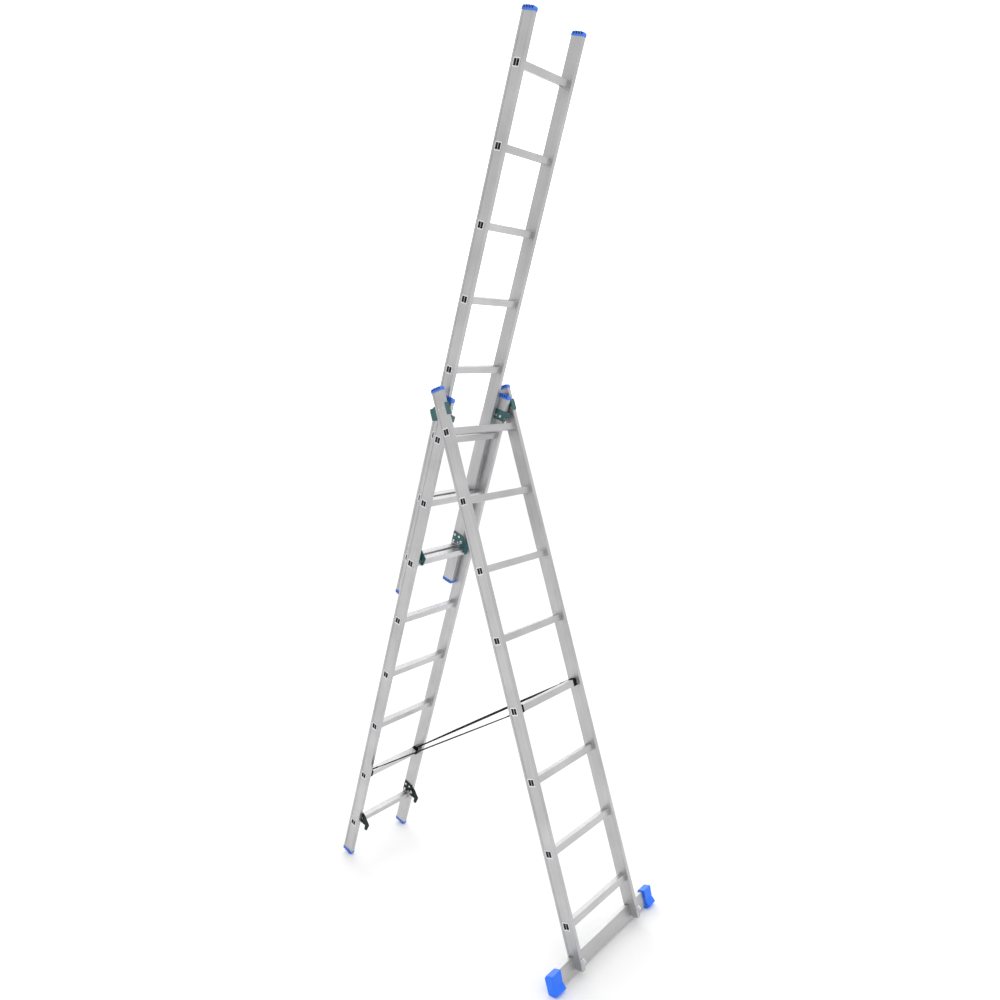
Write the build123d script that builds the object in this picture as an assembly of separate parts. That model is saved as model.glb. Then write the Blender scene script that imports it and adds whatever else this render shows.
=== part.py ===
from build123d import *
import math
import os

os.makedirs("parts", exist_ok=True)

# Three-section aluminium combination ladder, standing as a trestle with its
# top section run out above the rear leg.
# Row frame: X across the rungs, -Y the side of the stabiliser, +Z up.
# The origin is on the floor, in the middle of the ladder's footprint. All
# sizes are millimetres and degrees.
#
# Each section is drawn in a frame of its own: its origin is the centre of the
# section's top rung, z runs up along the stiles and y points to the back.

# ---- driving dimensions -----------------------------------------------------
RUNG_COUNT = 8
RUNG_PITCH = 280.0
RUNG_SIZE = 28.0
RUNG_WALL = 1.6
RUNG_GROOVES = (-8.0, 0.0, 8.0)     # tread grooves across the rung's depth
STILE_DEPTH = 58.0                  # front to back
STILE_WIDTH = 19.0                  # across the ladder
STILE_WALL = 1.6
STILE_OVERRUN = 165.0               # stile beyond its end rung's centre
FRONT_WIDTH = 432.0                 # outside widths of the three sections
REAR_WIDTH = 372.0
UPPER_WIDTH = 321.0
NEST_OFFSET = 43.5                  # depth step from one section to the next
UPPER_RAISE = 5 * RUNG_PITCH        # upper section above the rear section

FRONT_LEAN = 16.28                  # front leg from the vertical
HINGE_ABOVE_FRONT_RUNG = 38.0       # hinge pin above each section's top rung
HINGE_ABOVE_REAR_RUNG = 76.0
PIN_RADIUS = 4.0
PIN_CLEARANCE = 0.1
PIN_FLANGE = 5.0

CAP_HEIGHT = 18.0
CAP_MARGIN = 0.4                    # cap flange proud of the stile
CAP_ROUND = 12.0

PLATE = 3.0                         # guide bracket sheet
BRACKET_TOP = 114.0                 # above the section's top rung
BRACKET_BOTTOM = 66.0
BRACKET_BACK = 76.5                 # outer face of the return behind the next stile
HOOK_PLATE = 4.0
RIVET_RADIUS = 3.0
RIVET_HEAD = 1.8
FLUSH_HEAD = 0.3                    # set end of a rivet in the stile's outer channel

BAR_HEIGHT = 60.0                   # stabiliser tube
BAR_DEPTH = 25.0
BAR_WALL = 2.0
BAR_HALF = 350.0
BAR_TOP = -2078.0                   # in the front section's frame
BAR_FRONT = 4.0
FLAP_BOTTOM = -2131.0               # end of the stile's front part
FOOT_INNER = 310.0
FOOT_OUTER = 364.0
FOOT_TOP = 6.0                      # above the bar
FOOT_WAIST = (-4.0, -2119.0)        # narrowest place of the front face, as (y, z)
FOOT_TOE = (-14.0, -2140.0)         # its flared lower edge
SOLE = (6.0, -2152.0)               # front edge of the flat sole

BOLT_Z = -2094.0
BOLT_RADIUS = 5.0
BOLT_END = 6.0                      # bolt beyond its nut
NUT_SIZE = 17.0
NUT_THICK = 8.0
WASHER_RADIUS = 10.0
WASHER_THICK = 2.0

STRAP_FRONT_RUNG = 5
STRAP_REAR_RUNG = 7
STRAP_WIDTH = 20.0
STRAP_THICK = 2.0
STRAP_FRONT_X = 182.0
STRAP_REAR_X = 151.0

LAST_RUNG = -(RUNG_COUNT - 1) * RUNG_PITCH
STILE_BOTTOM = LAST_RUNG - STILE_OVERRUN
HALF_DEPTH = STILE_DEPTH / 2
HALF_RUNG = RUNG_SIZE / 2
HINGE_Y = NEST_OFFSET / 2           # behind the front rungs, ahead of the rear ones
BOLT_TIP = -HALF_DEPTH - WASHER_THICK - NUT_THICK - BOLT_END


# Rivets as (y, z) in their section's frame.
FRONT_BRACKET_RIVETS = ((-12.0, 95.0), (12.0, 95.0))
REAR_BRACKET_RIVETS = ((-13.0, 88.0), (8.0, 88.0))
HOOK_RIVETS = tuple((y, LAST_RUNG + z) for z in (56.0, 27.0) for y in (13.0, -13.0))


# ---- where the sections stand -----------------------------------------------
def sin(a):
    return math.sin(math.radians(a))


def cos(a):
    return math.cos(math.radians(a))


# The front section stands on the flat soles of its stabiliser feet.
front_height = SOLE[0] * sin(FRONT_LEAN) - SOLE[1] * cos(FRONT_LEAN)
HINGE_HEIGHT = (front_height - HINGE_Y * sin(FRONT_LEAN)
                + HINGE_ABOVE_FRONT_RUNG * cos(FRONT_LEAN))

# The rear section stands on the rounded front corners of its foot caps.
corner_y = HALF_DEPTH + CAP_MARGIN - CAP_ROUND
corner_z = STILE_BOTTOM - CAP_HEIGHT + CAP_ROUND
reach_z = HINGE_ABOVE_REAR_RUNG - corner_z
reach_y = corner_y - HINGE_Y
reach = math.hypot(reach_z, reach_y)
REAR_LEAN = (math.degrees(math.acos((HINGE_HEIGHT - CAP_ROUND) / reach))
             + math.degrees(math.atan2(reach_y, reach_z)))

# The footprint runs from the ends of the stabiliser's bolts to the back
# corners of the rear foot caps; the hinge axis is set so that its middle is
# at y = 0.
toe = ((BOLT_TIP - HINGE_Y) * cos(FRONT_LEAN)
       + (BOLT_Z - BOLT_RADIUS - HINGE_ABOVE_FRONT_RUNG) * sin(FRONT_LEAN))
heel = (corner_y + HINGE_Y) * cos(REAR_LEAN) + reach_z * sin(REAR_LEAN) + CAP_ROUND
HINGE_SETBACK = -(toe + heel) / 2


def section_frame(tilt, hinge_y, hinge_z):
    """Location of a section whose own point (hinge_y, hinge_z) is on the hinge."""
    y = HINGE_SETBACK - (hinge_y * cos(tilt) - hinge_z * sin(tilt))
    z = HINGE_HEIGHT - (hinge_y * sin(tilt) + hinge_z * cos(tilt))
    return Location((0, y, z), (tilt, 0, 0))


FRONT = section_frame(-FRONT_LEAN, HINGE_Y, HINGE_ABOVE_FRONT_RUNG)
REAR = section_frame(REAR_LEAN, -HINGE_Y, HINGE_ABOVE_REAR_RUNG)
UPPER = REAR * Location((0, NEST_OFFSET, UPPER_RAISE))


# ---- small helpers ----------------------------------------------------------
def block(x0, x1, y0, y1, z0, z1):
    return Pos((x0 + x1) / 2, (y0 + y1) / 2, (z0 + z1) / 2) * Box(abs(x1 - x0), abs(y1 - y0), abs(z1 - z0))


def rod_x(radius, x0, x1, y, z):
    return Pos((x0 + x1) / 2, y, z) * Rot(0, 90, 0) * Cylinder(radius, abs(x1 - x0))


def rod_y(radius, y0, y1, x, z):
    return Pos(x, (y0 + y1) / 2, z) * Rot(90, 0, 0) * Cylinder(radius, abs(y1 - y0))


def square_ring(outer, inner, x0, x1, z, corner):
    """A rounded square collar around a rung at height z."""
    ring = RectangleRounded(outer, outer, corner) - Rectangle(inner, inner)
    plane = Plane(origin=(x0, 0, z), x_dir=(0, 1, 0), z_dir=(1, 0, 0))
    return extrude(plane * ring, x1 - x0)


def yz_plate(points, x0, x1):
    """A plate cut to an outline given as (y, z) points."""
    plane = Plane(origin=(min(x0, x1), 0, 0), x_dir=(0, 1, 0), z_dir=(1, 0, 0))
    return extrude(plane * make_face(Polyline(*points, close=True)), abs(x1 - x0))


def rung_heights():
    return [-RUNG_PITCH * i for i in range(RUNG_COUNT)]


def export(name, shape, frame):
    shape = frame * shape
    shape.label = name
    export_step(shape, "parts/" + name + ".step")


# ---- stile --------------------------------------------------------------------
CHANNEL_HALF = 19.0                 # shallow channel down the outer side
CHANNEL_DEPTH = 1.2


def stile_profile():
    """Hollow box section, outer side toward +X, centred on the stile."""
    h, w = HALF_DEPTH, STILE_WIDTH / 2
    outer = RectangleRounded(STILE_WIDTH, STILE_DEPTH, 2.0)
    outer -= Pos(w - CHANNEL_DEPTH / 2, 0) * Rectangle(CHANNEL_DEPTH, 2 * CHANNEL_HALF)
    inner = Rectangle(STILE_WIDTH - 2 * STILE_WALL, STILE_DEPTH - 2 * STILE_WALL)
    inner -= Pos(w - STILE_WALL - CHANNEL_DEPTH / 2, 0) * Rectangle(
        CHANNEL_DEPTH, 2 * (CHANNEL_HALF + STILE_WALL))
    return outer - inner


def stile(width, side, bottom, rivets):
    """One stile on the given side (-1 or +1), pierced for its rungs and rivets."""
    top = STILE_OVERRUN
    body = extrude(Pos(0, 0, bottom) * stile_profile(), top - bottom)
    for z in rung_heights():
        body -= block(-STILE_WIDTH, STILE_WIDTH, -HALF_RUNG - 0.1, HALF_RUNG + 0.1,
                      z - HALF_RUNG - 0.1, z + HALF_RUNG + 0.1)
    for y, z in rivets:
        body -= rod_x(RIVET_RADIUS, -STILE_WIDTH, STILE_WIDTH, y, z)
    body = Pos(width / 2 - STILE_WIDTH / 2, 0, 0) * body
    return body if side > 0 else mirror(body, Plane.YZ)


# ---- rung ---------------------------------------------------------------------
COLLAR = 33.0
COLLAR_THICK = 1.5
BEAD = 36.0
BEAD_THICK = 2.5
GROOVE_WIDTH = 2.4
GROOVE_DEPTH = 0.7


def rung_profile():
    """Hollow square with a middle web and grooved top and bottom treads."""
    inside = RUNG_SIZE - 2 * RUNG_WALL
    cell = (inside - RUNG_WALL) / 2
    shape = RectangleRounded(RUNG_SIZE, RUNG_SIZE, 1.5)
    for s in (-1, 1):
        shape -= Pos(s * (cell + RUNG_WALL) / 2, 0) * Rectangle(cell, inside - 0.8)
        for y in RUNG_GROOVES:
            shape -= Pos(y, s * (HALF_RUNG - GROOVE_DEPTH / 2)) * Rectangle(GROOVE_WIDTH, GROOVE_DEPTH)
    return shape


def rung(width, z):
    """A rung that runs through both stiles, flared outside and beaded inside."""
    end = width / 2 - CHANNEL_DEPTH + COLLAR_THICK
    plane = Plane(origin=(-end, 0, z), x_dir=(0, 1, 0), z_dir=(1, 0, 0))
    body = extrude(plane * rung_profile(), 2 * end)
    inner_face = width / 2 - STILE_WIDTH
    for x0, x1, size in ((end - COLLAR_THICK, end, COLLAR), (inner_face - BEAD_THICK, inner_face, BEAD)):
        body += square_ring(size, RUNG_SIZE - 2, x0, x1, z, 4)
        body += square_ring(size, RUNG_SIZE - 2, -x1, -x0, z, 4)
    return body


# ---- end cap --------------------------------------------------------------------
RIB_CUTS = 4
RIB_GAP = 7.5
RIB_CUT = 11.0
CAP_PLUG = 14.0


def cap(width, side, end):
    """Plastic cap on a stile end, end = +1 for the top and -1 for the bottom."""
    half_y = HALF_DEPTH + CAP_MARGIN
    half_x = STILE_WIDTH / 2 + CAP_MARGIN
    dome = RectangleRounded(2 * half_y, 2 * CAP_HEIGHT, CAP_ROUND)
    dome &= Pos(0, CAP_HEIGHT / 2) * Rectangle(2 * half_y, CAP_HEIGHT)
    plane = Plane(origin=(-half_x, 0, 0), x_dir=(0, 1, 0), z_dir=(1, 0, 0))
    body = extrude(plane * dome, 2 * half_x)
    step = 2 * (half_y - 5) / RIB_CUTS
    core = half_x - 5
    for i in range(RIB_CUTS):
        y = (i - (RIB_CUTS - 1) / 2) * step
        for s in (-1, 1):
            body -= block(s * core, s * (half_x + 1), y - RIB_GAP / 2, y + RIB_GAP / 2,
                          CAP_HEIGHT - RIB_CUT, CAP_HEIGHT + 1)
        body -= block(-half_x, half_x, y - RIB_GAP / 2, y + RIB_GAP / 2, CAP_HEIGHT - 3, CAP_HEIGHT + 1)
    inside_y = HALF_DEPTH - STILE_WALL - 0.3
    inside_x = STILE_WIDTH / 2 - STILE_WALL - CHANNEL_DEPTH - 0.3
    body += block(-inside_x, inside_x, -inside_y, inside_y, -CAP_PLUG, 0)
    if end < 0:
        body = mirror(body, Plane.XY)
    z = STILE_OVERRUN if end > 0 else STILE_BOTTOM
    return Pos(side * (width / 2 - STILE_WIDTH / 2), 0, z) * body


# ---- guide brackets ---------------------------------------------------------------
FRONT_LIP = 3.0
WEB_TOP = 106.0                     # strip across the front stile's inner face
WEB_BOTTOM = 84.0
NECK_TOP = 100.0
NECK_BOTTOM = 80.0


def front_bracket(side):
    """C bracket on the front stile's inner face that holds the rear stile.

    It laps the stile's front edge, passes the rear stile and turns in behind
    it.
    """
    face = FRONT_WIDTH / 2 - STILE_WIDTH
    x0, x1 = face - PLATE, face
    body = block(x0, x1, -HALF_DEPTH - PLATE, BRACKET_BACK, WEB_BOTTOM, WEB_TOP)
    body += block(x0, x1, HALF_DEPTH, BRACKET_BACK, BRACKET_BOTTOM, BRACKET_TOP)
    body += block(x0, FRONT_WIDTH / 2 + FRONT_LIP, -HALF_DEPTH - PLATE, -HALF_DEPTH,
                  BRACKET_BOTTOM, BRACKET_TOP)
    body += block(REAR_WIDTH / 2 - STILE_WIDTH + 6, x1, BRACKET_BACK - PLATE, BRACKET_BACK,
                  BRACKET_BOTTOM, BRACKET_TOP)
    for y, z in FRONT_BRACKET_RIVETS:
        body -= rod_x(RIVET_RADIUS, x0, x1, y, z)
    return body if side > 0 else mirror(body, Plane.YZ)


REAR_PLATE_FRONT = 45.0
REAR_LIP_OUT = 21.0
REAR_LIP_BOTTOM = 90.0


def rear_bracket(side):
    """Bracket on the rear stile's inner face: guides the upper stile behind it

    and turns out in front of the rear stile as the catch of the trestle hinge.
    """
    face = REAR_WIDTH / 2 - STILE_WIDTH
    x0, x1 = face - PLATE, face
    body = block(x0, x1, -REAR_PLATE_FRONT + 14, HALF_DEPTH, BRACKET_BOTTOM + 4, BRACKET_TOP)
    body += block(x0, x1, -REAR_PLATE_FRONT, -REAR_PLATE_FRONT + 15, REAR_LIP_BOTTOM, BRACKET_TOP)
    body += block(x1, x1 + REAR_LIP_OUT, -REAR_PLATE_FRONT, -REAR_PLATE_FRONT + PLATE,
                  REAR_LIP_BOTTOM, BRACKET_TOP)
    body += block(x0, x1, HALF_DEPTH - 1, BRACKET_BACK, NECK_BOTTOM, BRACKET_TOP)
    body += block(UPPER_WIDTH / 2 - STILE_WIDTH + 8, x1, BRACKET_BACK - PLATE, BRACKET_BACK,
                  NECK_BOTTOM, BRACKET_TOP)
    for y, z in REAR_BRACKET_RIVETS:
        body -= rod_x(RIVET_RADIUS, x0, x1, y, z)
    return body if side > 0 else mirror(body, Plane.YZ)


# ---- rivets -------------------------------------------------------------------------
def rivet(width, side, plate, y, z):
    """A through rivet with a head on the plate and a flush end in the outer channel."""
    inner = width / 2 - STILE_WIDTH - plate
    outer = width / 2 - CHANNEL_DEPTH
    body = rod_x(RIVET_RADIUS - 0.05, inner, outer, y, z)
    body += rod_x(1.8 * RIVET_RADIUS, inner - RIVET_HEAD, inner, y, z)
    body += rod_x(1.2 * RIVET_RADIUS, outer, outer + FLUSH_HEAD, y, z)
    return body if side > 0 else mirror(body, Plane.YZ)


def hinge_pin(side):
    """Shoulder pin fixed to the front stile's inner face; the rear stile turns on it."""
    stile_face = FRONT_WIDTH / 2 - STILE_WIDTH
    tip = REAR_WIDTH / 2 - STILE_WIDTH + 0.3
    body = rod_x(PIN_RADIUS - 0.02, tip, stile_face, HINGE_Y, HINGE_ABOVE_FRONT_RUNG)
    body += rod_x(PIN_RADIUS + 6, stile_face - PIN_FLANGE, stile_face, HINGE_Y, HINGE_ABOVE_FRONT_RUNG)
    return body if side > 0 else mirror(body, Plane.YZ)


# ---- hooks ---------------------------------------------------------------------------
SLOT_FROM = (-33.0, 38.0)
SLOT_TO = (-21.0, 22.0)
SLOT_RADIUS = 4.0
# Gap in the hook that drops over a rung of the section in front.
THROAT_BACK = -(NEST_OFFSET - HALF_RUNG) + 1.0
THROAT_FRONT = -(NEST_OFFSET + HALF_RUNG) - 1.5
THROAT_TOP = HALF_RUNG + 0.3


def hook(width, side):
    """Steel claw riveted to the stile's inner face beside the bottom rung."""
    face = width / 2 - STILE_WIDTH
    outline = [(24, 70), (-30, 66), (-46, 60), (-70, 40), (-82, 30), (-75, -4), (-66, -8),
               (THROAT_FRONT, -4), (THROAT_FRONT, THROAT_TOP), (THROAT_BACK, THROAT_TOP),
               (THROAT_BACK, HALF_RUNG + 5), (24, HALF_RUNG + 5)]
    body = yz_plate(outline, face - HOOK_PLATE, face)
    body = Pos(0, 0, LAST_RUNG) * body
    for y, z in HOOK_RIVETS:
        body -= rod_x(RIVET_RADIUS, face - HOOK_PLATE, face, y, z)
    for y, z in (SLOT_FROM, SLOT_TO):
        body -= rod_x(SLOT_RADIUS, face - HOOK_PLATE, face, y, LAST_RUNG + z)
    return body if side > 0 else mirror(body, Plane.YZ)


# ---- stabiliser -----------------------------------------------------------------------


def front_stile(side):
    """Front stile, cut away at the back of its foot for the stabiliser."""
    body = stile(FRONT_WIDTH, side, FLAP_BOTTOM, FRONT_BRACKET_RIVETS)
    body -= block(-FRONT_WIDTH, FRONT_WIDTH, BAR_FRONT, HALF_DEPTH + 1, FLAP_BOTTOM - 1, BAR_TOP + 2)
    x = side * (FRONT_WIDTH - STILE_WIDTH) / 2
    body -= rod_y(BOLT_RADIUS + 0.2, -HALF_DEPTH - 1, 0, x, BOLT_Z)
    heel = yz_plate([(BAR_FRONT, FLAP_BOTTOM), (-9, FLAP_BOTTOM), (BAR_FRONT, FLAP_BOTTOM + 8)],
                    x - STILE_WIDTH, x + STILE_WIDTH)
    return body - heel


def stabiliser_bar():
    y0, y1 = BAR_FRONT, BAR_FRONT + BAR_DEPTH
    body = block(-BAR_HALF, BAR_HALF, y0, y1, BAR_TOP - BAR_HEIGHT, BAR_TOP)
    body = fillet(body.edges().filter_by(Axis.X), 2.5)
    body -= block(-BAR_HALF, BAR_HALF, y0 + BAR_WALL, y1 - BAR_WALL,
                  BAR_TOP - BAR_HEIGHT + BAR_WALL, BAR_TOP - BAR_WALL)
    for side in (-1, 1):
        body -= rod_y(BOLT_RADIUS + 0.2, y0, y1, side * (FRONT_WIDTH - STILE_WIDTH) / 2, BOLT_Z)
    return body


def stabiliser_foot(side):
    """Moulded foot sleeved on a bar end, waisted at the front, with a flat sole."""
    back = BAR_FRONT + BAR_DEPTH + 4
    top = BAR_TOP + FOOT_TOP
    heel_z = SOLE[1] + (back - SOLE[0]) * math.tan(math.radians(FRONT_LEAN))
    outline = [(back, heel_z), (back, top - 10), (back - 10, top), (-8, top), FOOT_WAIST, FOOT_TOE, (-11, -2145), SOLE]
    plane = Plane(origin=(FOOT_INNER, 0, 0), x_dir=(0, 1, 0), z_dir=(1, 0, 0))
    body = extrude(plane * make_face(Polyline(*outline, close=True)), FOOT_OUTER - FOOT_INNER)
    end = body.faces().sort_by(Axis.X)[-1]
    body = fillet(end.edges(), 4)
    body -= block(FOOT_INNER - 1, BAR_HALF + 0.5, BAR_FRONT - 0.2, BAR_FRONT + BAR_DEPTH + 0.2,
                  BAR_TOP - BAR_HEIGHT - 0.2, BAR_TOP + 0.2)
    return body if side > 0 else mirror(body, Plane.YZ)


def stabiliser_bolt(side):
    """Coach bolt from the back of the bar through the stile's front wall."""
    x = side * (FRONT_WIDTH - STILE_WIDTH) / 2
    back = BAR_FRONT + BAR_DEPTH
    body = rod_y(BOLT_RADIUS, BOLT_TIP, back, x, BOLT_Z)
    return body + rod_y(11, back, back + 4, x, BOLT_Z)


def stabiliser_nut(side):
    x = side * (FRONT_WIDTH - STILE_WIDTH) / 2
    face = -HALF_DEPTH
    washer = rod_y(WASHER_RADIUS, face - WASHER_THICK, face, x, BOLT_Z)
    plane = Plane(origin=(x, face - WASHER_THICK, BOLT_Z), x_dir=(1, 0, 0), z_dir=(0, -1, 0))
    nut = extrude(plane * RegularPolygon(NUT_SIZE / 2, 6, major_radius=False), NUT_THICK)
    body = washer + nut
    return body - rod_y(BOLT_RADIUS + 0.02, face - WASHER_THICK - NUT_THICK - 1, face + 1, x, BOLT_Z)


# ---- straps -----------------------------------------------------------------------------
def strap(side):
    """Taut webbing between a front and a rear rung, drawn in the row's frame.

    Each end is a sewn loop round its rung; the run leaves from the rung's
    inner side near its top.
    """
    gap = 0.3
    loops = []
    ends = []
    for frame, number, x in ((FRONT, STRAP_FRONT_RUNG, side * STRAP_FRONT_X),
                             (REAR, STRAP_REAR_RUNG, side * STRAP_REAR_X)):
        z = -(number - 1) * RUNG_PITCH
        x0, x1 = x - STRAP_WIDTH / 2, x + STRAP_WIDTH / 2
        outer = RUNG_SIZE + 2 * (gap + STRAP_THICK)
        loops.append(frame * square_ring(outer, RUNG_SIZE + 2 * gap, x0, x1, z, 3))
        facing = 1 if frame is FRONT else -1
        ends.append(frame * Pos(x, facing * (outer / 2 - STRAP_THICK / 2), z + HALF_RUNG - 4))
    a, b = [e.position for e in ends]
    run = b - a
    flat = Vector(1, 0, 0).cross(run).normalized()
    middle = Plane(origin=(a + b) / 2, x_dir=run, z_dir=flat)
    band = middle * Box(run.length, STRAP_WIDTH, STRAP_THICK)
    return loops[0] + band + loops[1]


# ---- build ------------------------------------------------------------------------------
SIDES = ((-1, "left"), (1, "right"))


def export_section(prefix, width, frame, bottom_caps, make_stile):
    for side, word in SIDES:
        export(prefix + "_stile_" + word, make_stile(side), frame)
        export(prefix + "_top_cap_" + word, cap(width, side, 1), frame)
        if bottom_caps:
            export(prefix + "_foot_cap_" + word, cap(width, side, -1), frame)
    for i, z in enumerate(rung_heights()):
        export(prefix + "_rung_" + str(i + 1), rung(width, z), frame)


def rear_stile(side):
    """Rear stile, drilled for the hinge pin from its inner side."""
    body = stile(REAR_WIDTH, side, STILE_BOTTOM, REAR_BRACKET_RIVETS + HOOK_RIVETS)
    return body - rod_x(PIN_RADIUS + PIN_CLEARANCE, 0, side * REAR_WIDTH, -HINGE_Y, HINGE_ABOVE_REAR_RUNG)


def upper_stile(side):
    return stile(UPPER_WIDTH, side, STILE_BOTTOM, HOOK_RIVETS)


export_section("front", FRONT_WIDTH, FRONT, False, front_stile)
export_section("rear", REAR_WIDTH, REAR, True, rear_stile)
export_section("upper", UPPER_WIDTH, UPPER, True, upper_stile)

for side, word in SIDES:
    export("front_guide_bracket_" + word, front_bracket(side), FRONT)
    export("rear_guide_bracket_" + word, rear_bracket(side), REAR)
    export("rear_hook_" + word, hook(REAR_WIDTH, side), REAR)
    export("upper_hook_" + word, hook(UPPER_WIDTH, side), UPPER)
    export("stabiliser_foot_" + word, stabiliser_foot(side), FRONT)
    export("strap_" + word, strap(side), Location((0, 0, 0)))

export("stabiliser_bar", stabiliser_bar(), FRONT)
export("stabiliser_bolts", Compound([stabiliser_bolt(s) for s in (-1, 1)]), FRONT)
export("stabiliser_nuts", Compound([stabiliser_nut(s) for s in (-1, 1)]), FRONT)
export("hinge_pins", Compound([hinge_pin(s) for s in (-1, 1)]), FRONT)


def rivet_group(width, plate, spots):
    return [rivet(width, side, plate, y, z) for side in (-1, 1) for y, z in spots]


export("front_rivets", Compound(rivet_group(FRONT_WIDTH, PLATE, FRONT_BRACKET_RIVETS)), FRONT)
export("rear_rivets", Compound(rivet_group(REAR_WIDTH, PLATE, REAR_BRACKET_RIVETS)
                               + rivet_group(REAR_WIDTH, HOOK_PLATE, HOOK_RIVETS)), REAR)
export("upper_rivets", Compound(rivet_group(UPPER_WIDTH, HOOK_PLATE, HOOK_RIVETS)), UPPER)
print("front lean", FRONT_LEAN, "rear lean", round(REAR_LEAN, 3),
      "hinge at y", round(HINGE_SETBACK, 2), "z", round(HINGE_HEIGHT, 2))
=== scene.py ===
"""Three-section aluminium combination ladder: finishes, moulded feet, hook latches, straps and studio."""

import math

import bmesh
import bpy
from bpy.props import FloatProperty, FloatVectorProperty, PointerProperty
from mathutils import Matrix, Vector


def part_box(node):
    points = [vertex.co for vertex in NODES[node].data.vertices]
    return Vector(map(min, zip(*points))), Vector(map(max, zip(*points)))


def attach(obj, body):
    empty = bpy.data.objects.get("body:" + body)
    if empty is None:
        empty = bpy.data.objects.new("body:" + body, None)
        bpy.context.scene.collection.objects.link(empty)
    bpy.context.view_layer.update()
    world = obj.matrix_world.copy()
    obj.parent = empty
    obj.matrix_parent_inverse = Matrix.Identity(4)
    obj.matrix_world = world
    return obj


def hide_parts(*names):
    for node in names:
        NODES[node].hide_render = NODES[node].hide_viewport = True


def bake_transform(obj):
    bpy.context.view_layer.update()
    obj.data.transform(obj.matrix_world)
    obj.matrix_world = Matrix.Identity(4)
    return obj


bl_info = {
    "name": "Combination ladder",
    "version": (1, 0, 0),
    "blender": (4, 5, 0),
    "location": "3D View > Sidebar > Ladder",
    "description": "Finishes and details a three-section aluminium combination ladder",
    "category": "Add Mesh",
}

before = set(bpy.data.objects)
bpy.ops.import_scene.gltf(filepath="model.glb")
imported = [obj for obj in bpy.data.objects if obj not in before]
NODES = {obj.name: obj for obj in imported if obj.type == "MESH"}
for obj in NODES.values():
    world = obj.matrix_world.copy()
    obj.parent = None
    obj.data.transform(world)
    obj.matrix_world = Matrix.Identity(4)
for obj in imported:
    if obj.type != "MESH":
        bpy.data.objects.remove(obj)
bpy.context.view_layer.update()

# The two leaning sections, as the frame's hinge and the rungs give them. Each
# section's own frame has its origin on its top rung, z up along the stiles and
# y to the back.
RUNG_PITCH = 0.280
LAST_RUNG = -7 * RUNG_PITCH
HALF_RUNG = 0.014
STILE_OVERRUN = 0.165

# A strap joins front rung 5 to rear rung 7, this far from the ladder's middle.
FRONT_STRAP_AT = (0.182, -4 * RUNG_PITCH)
REAR_STRAP_AT = (0.151, -6 * RUNG_PITCH)
LOOP_GAP = 0.0003
STITCH_RADIUS = 0.00035

# The dark block of painted groove shade inside a cap, between the ribs: half its width and depth, its near
# and far ends beyond the stile's end.
SHADE_BLOCK_HALF_WIDTH, SHADE_BLOCK_HALF_DEPTH = 0.0084, 0.0255
SHADE_BLOCK_NEAR, SHADE_BLOCK_FAR = 0.0060, 0.0158

# The ends of a hook's latch, as (y, z) above the section's bottom rung.
LATCH_TOP, LATCH_FOOT = (-0.033, 0.038), (-0.0165, 0.0165)

CAMERA_PLACE = (-2.6496, -2.3556, 2.2672)
CAMERA_TURN = (39.50, -8.10, -1.227)    # degrees: yaw from +X, pitch, roll
WALL_DIRECTION = (0.68, 0.62, 0.39)     # toward the bright wall behind the ladder


def rung_centre(node):
    low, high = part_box(node)
    return (low + high) / 2


def section_matrix(top, bottom):
    """Frame of a section from its top and bottom rungs."""
    origin = rung_centre(top)
    up = (origin - rung_centre(bottom)).normalized()
    across = Vector((1, 0, 0))
    back = up.cross(across)
    return Matrix.Translation(origin) @ Matrix((across, back, up)).transposed().to_4x4()


FRONT = section_matrix("front_rung_1", "front_rung_8")
REAR = section_matrix("rear_rung_1", "rear_rung_8")
UPPER = section_matrix("upper_rung_1", "upper_rung_8")


# ---- colours and sizes a user may change -----------------------------------------
def srgb(code):
    """Linear colour of an sRGB hex value."""
    parts = [int(code[i:i + 2], 16) / 255 for i in (0, 2, 4)]
    return [c / 12.92 if c <= 0.04045 else ((c + 0.055) / 1.055) ** 2.4 for c in parts]


def colour(name, text, code):
    return FloatVectorProperty(name=name, description=text, subtype="COLOR", size=3, min=0, max=1,
                               default=srgb(code))


def length(name, text, value):
    return FloatProperty(name=name, description=text, default=value, min=0, unit="LENGTH")


class LadderColours(bpy.types.PropertyGroup):
    aluminium: colour("Aluminium", "Extruded aluminium of stiles and rungs", "C5C5C6")
    tread: colour("Tread aluminium", "Rungs, a little brighter than the stiles", "C9C9CA")
    cap: colour("End cap", "Moulded end caps", "3A74DC")
    # painted shade: this dark navy colours the blocks that stand in for the shadow in the cap grooves
    core: colour("Cap core", "Inside of the caps, between their ribs", "141E46")
    foot: colour("Stabiliser foot", "Moulded stabiliser feet", "1272FF")
    bracket: colour("Guide bracket", "Powder coat on the guide brackets and upper hooks", "2E5E5E")
    hook: colour("Rear hook", "Powder coat on the rear hooks", "061A10")
    zinc: colour("Zinc plate", "Bolts, nuts, rivets and latches", "D9DADC")
    strap: colour("Strap", "Polypropylene webbing", "141416")
    floor: colour("Floor", "Studio floor", "F4F4F4")


class LadderSizes(bpy.types.PropertyGroup):
    strap_width: length("Strap width", "Width of the webbing", 0.020)
    strap_thickness: length("Strap thickness", "Thickness of the webbing", 0.0020)
    strap_tail: length("Strap tail", "Length of the end sewn back on the run", 0.058)
    stitch: length("Stitch", "Length of one stitch in the strap's seam", 0.004)
    latch: length("Latch", "Diameter of the hooks' latch studs", 0.0155)
    camera_lens: FloatProperty(name="Lens", description="Focal length on a 36 mm sensor",
                               default=30.397, min=10, unit="CAMERA")


def settings():
    scene = bpy.context.scene
    return scene.ladder_colours, scene.ladder_sizes


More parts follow.
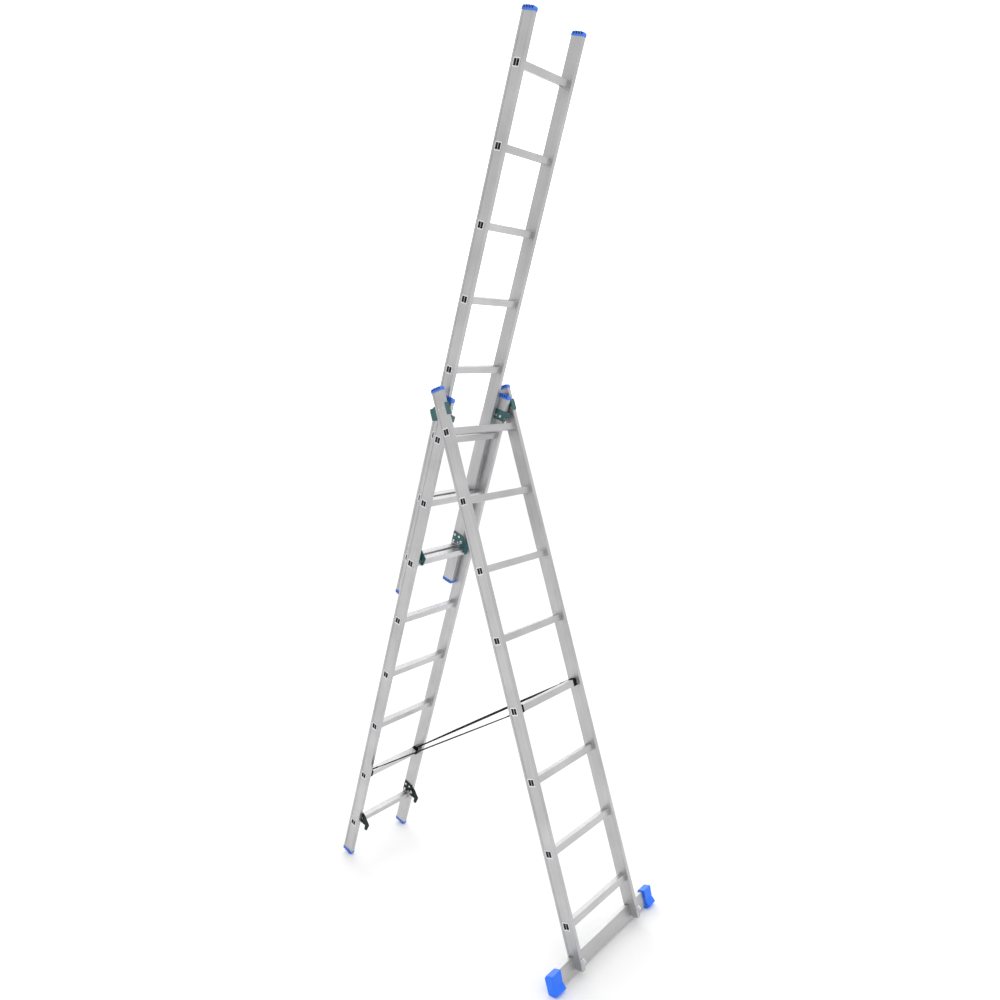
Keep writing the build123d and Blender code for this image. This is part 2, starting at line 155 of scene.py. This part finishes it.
# ---- materials --------------------------------------------------------------------------
MIX_A, MIX_B, MIX_RESULT = 6, 7, 2      # a Mix node's colour sockets
NOISE, RAMP, RANGE, BUMP = "ShaderNodeTexNoise", "ShaderNodeValToRGB", "ShaderNodeMapRange", "ShaderNodeBump"


def add_node(tree, kind, links=(), inputs=None, stops=(), to=(), **values):
    """Adds a node with its settings and links.

    links are (source socket, own input), to are (own output, target socket),
    inputs are constants on its sockets and stops a ramp's (position, colour).
    """
    made = tree.nodes.new(kind)
    for key, value in values.items():
        setattr(made, key, value)
    for key, value in (inputs or {}).items():
        made.inputs[key].default_value = value
    for i, (position, shade) in enumerate(stops):
        made.color_ramp.elements[i].position = position
        made.color_ramp.elements[i].color = shade
    for source, target in links:
        tree.links.new(source, made.inputs[target])
    for output, target in to:
        tree.links.new(made.outputs[output], target)
    return made


def start_material(name, base, metallic, roughness):
    """A material, its node tree, its shader and the Object coordinates."""
    made = bpy.data.materials.new(name)
    made.use_nodes = True
    tree = made.node_tree
    shader = tree.nodes["Principled BSDF"]
    shader.inputs["Base Color"].default_value = (*base, 1)
    shader.inputs["Metallic"].default_value = metallic
    shader.inputs["Roughness"].default_value = roughness
    made.diffuse_color = (*base, 1)
    return made, tree, shader, add_node(tree, "ShaderNodeTexCoord").outputs["Object"]


def tint(base, factor):
    return (*[min(1.0, c * factor) for c in base], 1)


def mottle(tree, shader, field, base, tones, gloss=None):
    """Lets a 0-1 field vary the colour between two tones and, with gloss, the roughness."""
    add_node(tree, RAMP, [(field, "Fac")], stops=((0.3, tint(base, tones[0])), (0.72, tint(base, tones[1]))),
             to=[("Color", shader.inputs["Base Color"])])
    if gloss:
        add_node(tree, RANGE, [(field, "Value")], {"From Min": 0.3, "From Max": 0.7, "To Min": gloss[0],
                                                   "To Max": gloss[1]},
                 to=[("Result", shader.inputs["Roughness"])])


def relief(tree, shader, field, strength, depth):
    """Lets a field raise the surface by up to depth metres."""
    add_node(tree, BUMP, [(field, "Height")], {"Strength": strength, "Distance": depth},
             to=[("Normal", shader.inputs["Normal"])])


def extruded_aluminium(name, base, tilt, along, roughness=0.42, flare=None):
    """Mill-finish extruded aluminium.

    The die leaves fine lines along the profile that break up the gloss, and
    handling leaves soft cloudy patches, so it reads as satin, never mirror.
    tilt turns the pattern to the section's lean, along is the extrusion's axis.
    Beyond flare, in metres from the ladder's middle, the flaring tool has
    burnished the rung's end bright.
    """
    made, tree, shader, place = start_material(name, base, 1.0, roughness)
    upright = add_node(tree, "ShaderNodeMapping", [(place, "Vector")], {"Rotation": (-tilt, 0, 0)})
    fields = []
    # die lines drawn 2 mm apart so that they show, and scuffs about 18 mm wide
    for stretch, spacing, detail, rough in ((0.004, 0.0022, 4.0, 0.55), (0.12, 0.018, 5.0, 0.65)):
        scale = [1.0, 1.0, 1.0]
        scale[along] = stretch
        drawn = add_node(tree, "ShaderNodeMapping", [(upright.outputs["Vector"], "Vector")],
                         {"Scale": scale})
        fields.append(add_node(tree, NOISE, [(drawn.outputs["Vector"], "Vector")],
                               {"Scale": 1 / spacing, "Detail": detail, "Roughness": rough}).outputs["Fac"])
    lines, scuffs = fields
    cloud = add_node(tree, NOISE, [(place, "Vector")], {"Scale": 1 / 0.16, "Detail": 2.0})
    tone = add_node(tree, RAMP, [(cloud.outputs["Fac"], "Fac")],
                    stops=((0.30, tint(base, 0.90)), (0.72, tint(base, 1.06))))
    streak = add_node(tree, RAMP, [(lines, "Fac")],
                      stops=((0.35, tint((1, 1, 1), 0.86)), (0.65, (1, 1, 1, 1))))
    mixed = add_node(tree, "ShaderNodeMix",
                     [(tone.outputs["Color"], MIX_A), (streak.outputs["Color"], MIX_B)],
                     {"Factor": 0.8}, data_type="RGBA", blend_type="MULTIPLY")
    surface = mixed.outputs[MIX_RESULT]
    if flare:
        across = add_node(tree, "ShaderNodeSeparateXYZ", [(place, "Vector")]).outputs["X"]
        out = add_node(tree, "ShaderNodeMath", [(across, 0)], operation="ABSOLUTE").outputs[0]
        edge = add_node(tree, RANGE, [(out, "Value")],
                        {"From Min": flare - 0.0004, "From Max": flare + 0.0004})
        burnished = add_node(tree, "ShaderNodeMix", [(edge.outputs["Result"], "Factor"), (surface, MIX_A)],
                             {MIX_B: (*srgb("E2E3E5"), 1)}, data_type="RGBA")
        surface = burnished.outputs[MIX_RESULT]
    tree.links.new(surface, shader.inputs["Base Color"])
    add_node(tree, RANGE, [(scuffs, "Value")], {"From Min": 0.3, "From Max": 0.7, "To Min": roughness - 0.07,
                                                "To Max": roughness + 0.10},
             to=[("Result", shader.inputs["Roughness"])])
    relief(tree, shader, lines, 0.10, 0.0004)
    return made


def moulded_plastic(name, base, grain, roughness):
    """Injection-moulded polypropylene.

    The mould's spark-eroded skin gives a fine grain and a broad soft
    highlight; flow and scuffing lighten it in faint patches.
    """
    made, tree, shader, place = start_material(name, base, 0.0, roughness)
    shader.inputs["IOR"].default_value = 1.49
    patch = add_node(tree, NOISE, [(place, "Vector")], {"Scale": 1 / 0.03, "Detail": 3.0}).outputs["Fac"]
    skin = add_node(tree, NOISE, [(place, "Vector")], {"Scale": 1 / grain, "Detail": 2.0}).outputs["Fac"]
    mottle(tree, shader, patch, base, (0.93, 1.10), (roughness - 0.05, roughness + 0.08))
    relief(tree, shader, skin, 0.18, 0.0003)
    return made


def powder_coat(name, base, gloss):
    """Powder-coated pressed steel: a film with fine orange peel, gloss as its share of clear shine."""
    made, tree, shader, place = start_material(name, base, 0.0, 0.4)
    shader.inputs["Coat Weight"].default_value = gloss
    shader.inputs["Coat Roughness"].default_value = 0.22
    shader.inputs["Specular IOR Level"].default_value = 0.2 + gloss
    peel = add_node(tree, NOISE, [(place, "Vector")], {"Scale": 1 / 0.0016, "Detail": 2.0}).outputs["Fac"]
    wear = add_node(tree, NOISE, [(place, "Vector")], {"Scale": 1 / 0.012, "Detail": 4.0}).outputs["Fac"]
    mottle(tree, shader, wear, base, (0.78, 1.22), (0.34, 0.5))
    relief(tree, shader, peel, 0.22, 0.0003)
    return made


def zinc_steel(name, base):
    """Bright zinc-plated steel: a cool metal with a faint mottled passivation."""
    made, tree, shader, place = start_material(name, base, 1.0, 0.26)
    spots = add_node(tree, NOISE, [(place, "Vector")], {"Scale": 1 / 0.004, "Detail": 3.0}).outputs["Fac"]
    mottle(tree, shader, spots, base, (0.88, 1.05), (0.20, 0.36))
    relief(tree, shader, spots, 0.05, 0.0002)
    return made


def webbing(name, base):
    """Woven polypropylene webbing, read from the strap's own UV map in metres.

    Warp cords run along the strap 1.2 mm apart, crossed by weft every 1.4 mm:
    a ribbed, matt black weave that takes no mirror of the room.
    """
    made, tree, shader, _ = start_material(name, base, 0.0, 0.9)
    shader.inputs["Specular IOR Level"].default_value = 0.12
    place = add_node(tree, "ShaderNodeTexCoord").outputs["UV"]
    waves = []
    for direction, spacing in (("X", 0.0012), ("Y", 0.0014)):
        # a wave at scale 1 repeats every pi / 10 units
        wave = add_node(tree, "ShaderNodeTexWave", [(place, "Vector")],
                        {"Scale": math.pi / 10 / spacing, "Distortion": 0.4, "Detail": 1.0},
                        wave_type="BANDS", bands_direction=direction, wave_profile="SIN")
        waves.append(wave.outputs["Fac"])
    weave = add_node(tree, "ShaderNodeMath", [(waves[0], 0), (waves[1], 1)], operation="MULTIPLY").outputs[0]
    mottle(tree, shader, weave, base, (0.6, 1.5))
    relief(tree, shader, weave, 0.6, 0.0004)
    return made


def thread(name, base):
    """Bonded polyester sewing thread, two-ply, with a soft satin gloss."""
    made, tree, shader, place = start_material(name, base, 0.0, 0.6)
    twist = add_node(tree, NOISE, [(place, "Vector")], {"Scale": 1 / 0.0006, "Detail": 2.0}).outputs["Fac"]
    mottle(tree, shader, twist, base, (0.8, 1.2))
    relief(tree, shader, twist, 0.3, 0.0002)
    return made


def studio_paper(name, base):
    """Matt seamless background paper with a barely visible tooth."""
    made, tree, shader, place = start_material(name, base, 0.0, 0.9)
    shader.inputs["Specular IOR Level"].default_value = 0.1
    tooth = add_node(tree, NOISE, [(place, "Vector")], {"Scale": 1 / 0.01, "Detail": 2.0}).outputs["Fac"]
    mottle(tree, shader, tooth, base, (0.995, 1.0))
    return made


def dress(material, nodes):
    """Gives CAD nodes their finish in every slot."""
    for name in nodes:
        mesh = NODES[name].data
        if not mesh.materials:
            mesh.materials.append(material)
        for i in range(len(mesh.materials)):
            mesh.materials[i] = material


def named(*starts):
    return [n for n in sorted(NODES) if n.startswith(starts)]


# ---- mesh helpers -----------------------------------------------------------------------
def place_mesh(bm, name, material, matrix=None, body=None, smooth=40):
    """Makes an object from a bmesh drawn in a section's frame, with its place in its mesh."""
    if matrix is not None:
        bmesh.ops.transform(bm, matrix=matrix, verts=bm.verts)
    mesh = bpy.data.meshes.new(name)
    bm.to_mesh(mesh)
    bm.free()
    made = bpy.data.objects.new(name, mesh)
    bpy.context.scene.collection.objects.link(made)
    mesh.materials.append(material)
    mesh.polygons.foreach_set("use_smooth", [True] * len(mesh.polygons))
    mesh.set_sharp_from_angle(angle=math.radians(smooth))
    if body:
        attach(made, body)
    return made


def soften(bm, edges, offset, segments=2):
    bmesh.ops.bevel(bm, geom=edges, offset=offset, offset_type="OFFSET", segments=segments, profile=0.5,
                    affect="EDGES", material=-1, clamp_overlap=True)


def add_box(bm, low, high):
    made = bmesh.ops.create_cube(bm, size=1)["verts"]
    low, high = Vector(low), Vector(high)
    bmesh.ops.scale(bm, vec=high - low, verts=made)
    bmesh.ops.translate(bm, vec=(low + high) / 2, verts=made)
    return made


def add_rod(bm, radius, start, end, sides=32, tip=None):
    """A round bar from start to end; tip is the radius at the end."""
    start, end = Vector(start), Vector(end)
    run = end - start
    made = bmesh.ops.create_cone(bm, cap_ends=True, cap_tris=False, segments=sides, radius1=radius,
                                 radius2=radius if tip is None else tip, depth=run.length)["verts"]
    turn = Vector((0, 0, 1)).rotation_difference(run).to_matrix().to_4x4()
    bmesh.ops.transform(bm, matrix=Matrix.Translation((start + end) / 2) @ turn, verts=made)
    return made


def edges_of(verts):
    return list({e for v in verts for e in v.link_edges})


# ---- operators: finishes on the frame's own parts ------------------------------------------
class LADDER_OT_sections(bpy.types.Operator):
    """Finish the stiles, the rungs and the stabiliser bar as extruded aluminium"""
    bl_idname = "ladder.sections"
    bl_label = "Stiles, rungs and bar"

    def execute(self, context):
        colours, _ = settings()
        for prefix, matrix in (("front", FRONT), ("rear", REAR), ("upper", UPPER)):
            tilt = matrix.to_euler().x
            dress(extruded_aluminium("Extruded aluminium " + prefix + " stiles", colours.aluminium, tilt, 2),
                  named(prefix + "_stile"))
            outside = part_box(prefix + "_rung_1")[1].x
            dress(extruded_aluminium("Extruded aluminium " + prefix + " rungs", colours.tread, tilt, 0, 0.38,
                                     outside - 0.0018), named(prefix + "_rung"))
        dress(extruded_aluminium("Extruded aluminium stabiliser bar", colours.aluminium,
                                 FRONT.to_euler().x, 0, 0.45), ["stabiliser_bar"])
        return {"FINISHED"}


class LADDER_OT_steelwork(bpy.types.Operator):
    """Finish the guide brackets, the hooks, the rivets, the bolts and the pins"""
    bl_idname = "ladder.steelwork"
    bl_label = "Brackets, hooks and fasteners"

    def execute(self, context):
        colours, _ = settings()
        teal = powder_coat("Powder-coated steel teal", colours.bracket, 0.2)
        dark = powder_coat("Powder-coated steel dark green", colours.hook, 0.02)
        dress(teal, named("front_guide", "rear_guide", "upper_hook"))
        dress(dark, named("rear_hook"))
        dress(zinc_steel("Zinc-plated steel", colours.zinc),
              named("front_rivets", "rear_rivets", "upper_rivets", "stabiliser_bolts", "stabiliser_nuts",
                    "hinge_pins"))
        return {"FINISHED"}


class LADDER_OT_caps(bpy.types.Operator):
    """Finish the ribbed end caps as moulded plastic, with dark blocks of painted groove shade inside them"""
    bl_idname = "ladder.caps"
    bl_label = "End caps"

    def execute(self, context):
        colours, _ = settings()
        dress(moulded_plastic("Moulded polypropylene caps", colours.cap, 0.0008, 0.42),
              [n for n in NODES if "_cap_" in n])
        # dark navy blocks inside the caps are painted shade for the grooves between the ribs
        core = moulded_plastic("Moulded polypropylene cap cores", colours.core, 0.0008, 0.6)
        for prefix, matrix in (("front", FRONT), ("rear", REAR), ("upper", UPPER)):
            for side, word in ((-1, "left"), (1, "right")):
                for end, which in ((1, "top"), (-1, "foot")):
                    node = prefix + "_" + which + "_cap_" + word
                    if node in NODES:
                        make_shade_block(node.replace("_cap_", "_painted_shade_"), node, side, end, matrix, core,
                                  prefix + "_section")
        return {"FINISHED"}


def make_shade_block(name, node, side, end, matrix, material, body):
    """A dark block inside the cap that shows in the gaps between its grip ribs: painted shade standing in for
    the shadow in the grooves.
    """
    low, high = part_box(node)
    middle = (low.x + high.x) / 2
    base = STILE_OVERRUN if end > 0 else LAST_RUNG - STILE_OVERRUN
    bm = bmesh.new()
    block = add_box(bm, (middle - SHADE_BLOCK_HALF_WIDTH, -SHADE_BLOCK_HALF_DEPTH, base + end * SHADE_BLOCK_NEAR),
                    (middle + SHADE_BLOCK_HALF_WIDTH, SHADE_BLOCK_HALF_DEPTH, base + end * SHADE_BLOCK_FAR))
    if end < 0:
        bmesh.ops.recalc_face_normals(bm, faces=bm.faces)
    outer = [e for e in edges_of(block)
             if all(v.co.z * end > (base + end * 0.010) * end for v in e.verts)]
    soften(bm, outer, 0.0030, 4)
    place_mesh(bm, name, material, matrix, body)


class LADDER_OT_feet(bpy.types.Operator):
    """Finish the stabiliser's moulded feet"""
    bl_idname = "ladder.feet"
    bl_label = "Stabiliser feet"

    def execute(self, context):
        colours, _ = settings()
        dress(moulded_plastic("Moulded polypropylene feet", colours.foot, 0.0009, 0.40),
              named("stabiliser_foot"))
        return {"FINISHED"}


class LADDER_OT_latches(bpy.types.Operator):
    """Zinc latches on the inner faces of the hooks, which stop a section from lifting off its rung"""
    bl_idname = "ladder.latches"
    bl_label = "Hook latches"

    def execute(self, context):
        colours, sizes = settings()
        metal = zinc_steel("Zinc-plated latch", colours.zinc)
        for prefix, matrix in (("rear", REAR), ("upper", UPPER)):
            for side, word in ((-1, "left"), (1, "right")):
                low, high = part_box(prefix + "_hook_" + word)
                face = low.x if side > 0 else high.x
                make_latch(prefix + "_latch_" + word, side, face, matrix, metal, sizes, prefix + "_section")
        return {"FINISHED"}


def make_latch(name, side, face, matrix, metal, sizes, body):
    """A stud over the hook's upper hole and the latch's tongue down past its lower hole."""
    bm = bmesh.new()
    top, foot = [Vector((face, y, LAST_RUNG + z)) for y, z in (LATCH_TOP, LATCH_FOOT)]
    inward = Vector((-side, 0, 0))
    radius = sizes.latch / 2
    stud = add_rod(bm, radius, top + inward * 0.0018, top + inward * 0.0050, 40)
    soften(bm, [e for e in edges_of(stud) if (e.verts[0].co - e.verts[1].co).length < radius], 0.0009, 3)
    add_rod(bm, radius * 0.45, top - inward * 0.003, top + inward * 0.0066, 24, radius * 0.36)
    tongue = add_box(bm, (-0.0009, -0.0042, 0), (0.0009, 0.0042, 1))
    far = [v for v in tongue if v.co.z > 0.5]
    bmesh.ops.scale(bm, vec=(1, 0.55, 1), verts=far)
    soften(bm, [e for e in edges_of(tongue) if abs((e.verts[0].co - e.verts[1].co).x) > 0.001], 0.0008, 2)
    # the bevel remade the tongue's vertices, which still stand at the origin
    solid = [v for v in bm.verts
             if -0.0011 < v.co.x < 0.0011 and -0.01 < v.co.y < 0.01 and -0.1 < v.co.z < 1.1]
    run = foot - top
    bmesh.ops.scale(bm, vec=(1, 1, run.length), verts=solid)
    turn = Vector((0, 0, 1)).rotation_difference(run).to_matrix().to_4x4()
    bmesh.ops.transform(bm, matrix=Matrix.Translation(top + inward * 0.0011) @ turn, verts=solid)
    place_mesh(bm, name, metal, matrix, body, 35)


class LADDER_OT_straps(bpy.types.Operator):
    """Webbing straps that hold the trestle open, sewn in a loop round a rung at each end"""
    bl_idname = "ladder.straps"
    bl_label = "Straps"

    def execute(self, context):
        colours, sizes = settings()
        cloth = webbing("Woven polypropylene webbing", colours.strap)
        yarn = thread("Bonded polyester thread", srgb("2B2B2E"))
        half = HALF_RUNG + LOOP_GAP + sizes.strap_thickness / 2
        front_x, front_z = FRONT_STRAP_AT
        rear_x, rear_z = REAR_STRAP_AT
        # Where each run leaves the back of front rung 5; both leave rear rung 7 from its top.
        for side, word, turned, leaves in ((-1, "left", -8, -HALF_RUNG),
                                           (1, "right", -26, HALF_RUNG - 0.004)):
            ends = [(FRONT, Vector((side * front_x, 0, front_z)), Vector((0, half, leaves))),
                    (REAR, Vector((side * rear_x, 0, rear_z)), Vector((0, -0.002, half)))]
            make_strap(word, ends, half, math.radians(turned), sizes, cloth, yarn)
        return {"FINISHED"}


def strap_loop(matrix, centre, half, sizes):
    """A sewn loop round a square rung, as a mesh of its own."""
    bm = bmesh.new()
    corners = bmesh.ops.create_circle(bm, cap_ends=False, segments=4, radius=half * math.sqrt(2))["verts"]
    bmesh.ops.rotate(bm, cent=(0, 0, 0), matrix=Matrix.Rotation(math.pi / 4, 3, "Z"), verts=corners)
    bmesh.ops.rotate(bm, cent=(0, 0, 0), matrix=Matrix.Rotation(math.pi / 2, 3, "Y"), verts=corners)
    bmesh.ops.bevel(bm, geom=corners, offset=0.003, offset_type="OFFSET", segments=5, profile=0.5,
                    affect="VERTICES", material=-1)
    bmesh.ops.translate(bm, vec=(-sizes.strap_width / 2, 0, 0), verts=bm.verts)
    grown = bmesh.ops.extrude_edge_only(bm, edges=bm.edges[:])["geom"]
    bmesh.ops.translate(bm, vec=(sizes.strap_width, 0, 0),
                        verts=[g for g in grown if isinstance(g, bmesh.types.BMVert)])
    bmesh.ops.recalc_face_normals(bm, faces=bm.faces)
    bmesh.ops.solidify(bm, geom=bm.faces[:], thickness=sizes.strap_thickness)
    bmesh.ops.recalc_face_normals(bm, faces=bm.faces)
    bmesh.ops.transform(bm, matrix=matrix @ Matrix.Translation(centre), verts=bm.verts)
    made = bpy.data.meshes.new("loop")
    bm.to_mesh(made)
    bm.free()
    return made


def twist(verts, length, angle):
    """Turns a band drawn from x = 0 to length about its run, most in its middle."""
    for v in verts:
        t = min(1.0, max(0.0, v.co.x / length))
        v.co = Matrix.Rotation(angle * math.sqrt(math.sin(math.pi * t)), 3, "X") @ v.co


def flat_band(start, end, level, columns, width, thick):
    """A strip of webbing from x = start to x = end, its middle at height level."""
    bm = bmesh.new()
    bmesh.ops.create_grid(bm, x_segments=columns, y_segments=4, size=0.5)
    bmesh.ops.scale(bm, vec=(end - start, width, 1), verts=bm.verts)
    bmesh.ops.translate(bm, vec=((start + end) / 2, 0, level + thick / 2), verts=bm.verts)
    bmesh.ops.solidify(bm, geom=bm.faces[:], thickness=thick)
    bmesh.ops.recalc_face_normals(bm, faces=bm.faces)
    made = bpy.data.meshes.new("band")
    bm.to_mesh(made)
    bm.free()
    return made


def make_strap(word, ends, half, turned, sizes, cloth, yarn):
    """One strap: a loop round each rung, the taut run between them and the tails sewn back on it.

    turned is how far the run has twisted in its middle.
    """
    thick = sizes.strap_thickness
    start, end = [matrix @ (centre + leaves) for matrix, centre, leaves in ends]
    run = end - start
    flat = Vector((1, 0, 0)).cross(run).normalized()
    across = flat.cross(run).normalized()
    place = Matrix.Translation(start) @ Matrix((run.normalized(), across, flat)).transposed().to_4x4()
    length = run.length
    tail = sizes.strap_tail
    band = bmesh.new()
    for low, high, level, columns in ((0, length, 0, 48), (0.002, tail, thick, 6),
                                      (length - tail, length - 0.002, thick, 6)):
        strip = flat_band(low, high, level, columns, sizes.strap_width, thick)
        band.from_mesh(strip)
        bpy.data.meshes.remove(strip)
    twist(band.verts, length, turned)
    bmesh.ops.transform(band, matrix=place, verts=band.verts)
    for matrix, centre, _ in ends:
        loop = strap_loop(matrix, centre, half, sizes)
        band.from_mesh(loop)
        bpy.data.meshes.remove(loop)
    uv = band.loops.layers.uv.new("weave")
    inverse = place.inverted()
    for face in band.faces:
        for corner in face.loops:
            spot = inverse @ corner.vert.co
            corner[uv].uv = (spot.y, spot.x + spot.z)
    made = place_mesh(band, "strap_webbing_" + word, cloth)
    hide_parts("strap_" + word)
    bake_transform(made)
    # Two rows of stitches hold each tail, seen on the tail and on the run's other face.
    seam = bmesh.new()
    for base, step in ((0.0, 1), (length, -1)):
        for row in (-0.32, 0.32):
            for i in range(9):
                a = base + step * (0.008 + i * sizes.stitch * 1.25)
                b = a + step * sizes.stitch * 0.85
                at = row * sizes.strap_width
                for level in (thick * 1.5 + 0.0001, -thick / 2 - 0.0001):
                    add_rod(seam, STITCH_RADIUS, (a, at, level), (b, at, level), 6)
    twist(seam.verts, length, turned)
    sewn = place_mesh(seam, "strap_stitches_" + word, yarn, place)
    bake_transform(sewn)


class LADDER_OT_studio(bpy.types.Operator):
    """Pale floor, soft studio light and the camera"""
    bl_idname = "ladder.studio"
    bl_label = "Studio"

    def execute(self, context):
        colours, sizes = settings()
        bm = bmesh.new()
        bmesh.ops.create_circle(bm, cap_ends=True, segments=96, radius=60)
        paper = studio_paper("Studio paper", colours.floor)
        mesh = bpy.data.meshes.new("studio_floor")
        bm.to_mesh(mesh)
        bm.free()
        mesh.materials.append(paper)
        floor = bpy.data.objects.new("studio_floor", mesh)
        context.scene.collection.objects.link(floor)
        make_camera(context, sizes)
        make_light(context)
        return {"FINISHED"}


def make_camera(context, sizes):
    data = bpy.data.cameras.new("view")
    data.lens = sizes.camera_lens
    data.sensor_width = 36
    data.clip_start, data.clip_end = 0.05, 200
    camera = bpy.data.objects.new("view", data)
    context.scene.collection.objects.link(camera)
    yaw, pitch, roll = (math.radians(a) for a in CAMERA_TURN)
    ahead = Vector((math.cos(yaw) * math.cos(pitch), math.sin(yaw) * math.cos(pitch), math.sin(pitch)))
    right = Vector((math.sin(yaw), -math.cos(yaw), 0))
    up = right.cross(ahead)
    turned_right = right * math.cos(roll) + up * math.sin(roll)
    turned_up = up * math.cos(roll) - right * math.sin(roll)
    axes = Matrix((turned_right, turned_up, -ahead)).transposed().to_4x4()
    camera.matrix_world = Matrix.Translation(CAMERA_PLACE) @ axes
    context.scene.camera = camera


def make_light(context):
    world = context.scene.world or bpy.data.worlds.new("studio")
    context.scene.world = world
    world.use_nodes = True
    tree = world.node_tree
    tree.nodes.clear()
    # A bright wall behind the ladder and a dimmer room in front of it: the
    # treads, which mirror the wall, look brighter than the sides.
    direction = add_node(tree, "ShaderNodeTexCoord").outputs["Generated"]
    toward = add_node(tree, "ShaderNodeVectorMath", [(direction, 0)], {1: WALL_DIRECTION},
                      operation="DOT_PRODUCT")
    level = add_node(tree, RANGE, [(toward.outputs["Value"], "Value")],
                     {"From Min": 0.35, "From Max": 0.95, "To Min": 0.88, "To Max": 1.9})
    ambient = add_node(tree, "ShaderNodeBackground", [(level.outputs["Result"], "Strength")],
                       {"Color": (1, 1, 1, 1)})
    add_node(tree, "ShaderNodeOutputWorld", [(ambient.outputs["Background"], "Surface")])
    context.scene.view_settings.view_transform = "Standard"
    for name, place, aim, size, power in (
            ("key", (-1.5, -3.5, 6.5), (0, 0, 1.6), 3.0, 45),
            ("back", (2.5, 4.5, 5.5), (0, 0, 1.8), 3.0, 60)):
        data = bpy.data.lights.new(name, "AREA")
        data.shape, data.size, data.energy = "SQUARE", size, power
        lamp = bpy.data.objects.new(name, data)
        context.scene.collection.objects.link(lamp)
        lamp.matrix_world = Matrix.Translation(place) @ (
            Vector(aim) - Vector(place)).to_track_quat("-Z", "Y").to_matrix().to_4x4()


class LADDER_PT_panel(bpy.types.Panel):
    """Sizes, colours and steps of the ladder"""
    bl_idname = "LADDER_PT_panel"
    bl_label = "Ladder"
    bl_space_type = "VIEW_3D"
    bl_region_type = "UI"
    bl_category = "Ladder"

    def draw(self, context):
        for group in settings():
            box = self.layout.box()
            for name in group.__annotations__:
                box.prop(group, name)
        for step in STEPS:
            self.layout.operator(step.bl_idname)


STEPS = (LADDER_OT_sections, LADDER_OT_steelwork, LADDER_OT_caps, LADDER_OT_feet, LADDER_OT_latches,
         LADDER_OT_straps, LADDER_OT_studio)
CLASSES = (LadderColours, LadderSizes, *STEPS, LADDER_PT_panel)


def register():
    for item in CLASSES:
        bpy.utils.register_class(item)
    bpy.types.Scene.ladder_colours = PointerProperty(type=LadderColours)
    bpy.types.Scene.ladder_sizes = PointerProperty(type=LadderSizes)


def unregister():
    del bpy.types.Scene.ladder_sizes
    del bpy.types.Scene.ladder_colours
    for item in reversed(CLASSES):
        bpy.utils.unregister_class(item)


def main():
    register()
    for step in STEPS:
        group, name = step.bl_idname.split(".")
        getattr(getattr(bpy.ops, group), name)()


if __name__ == "__main__":
    main()
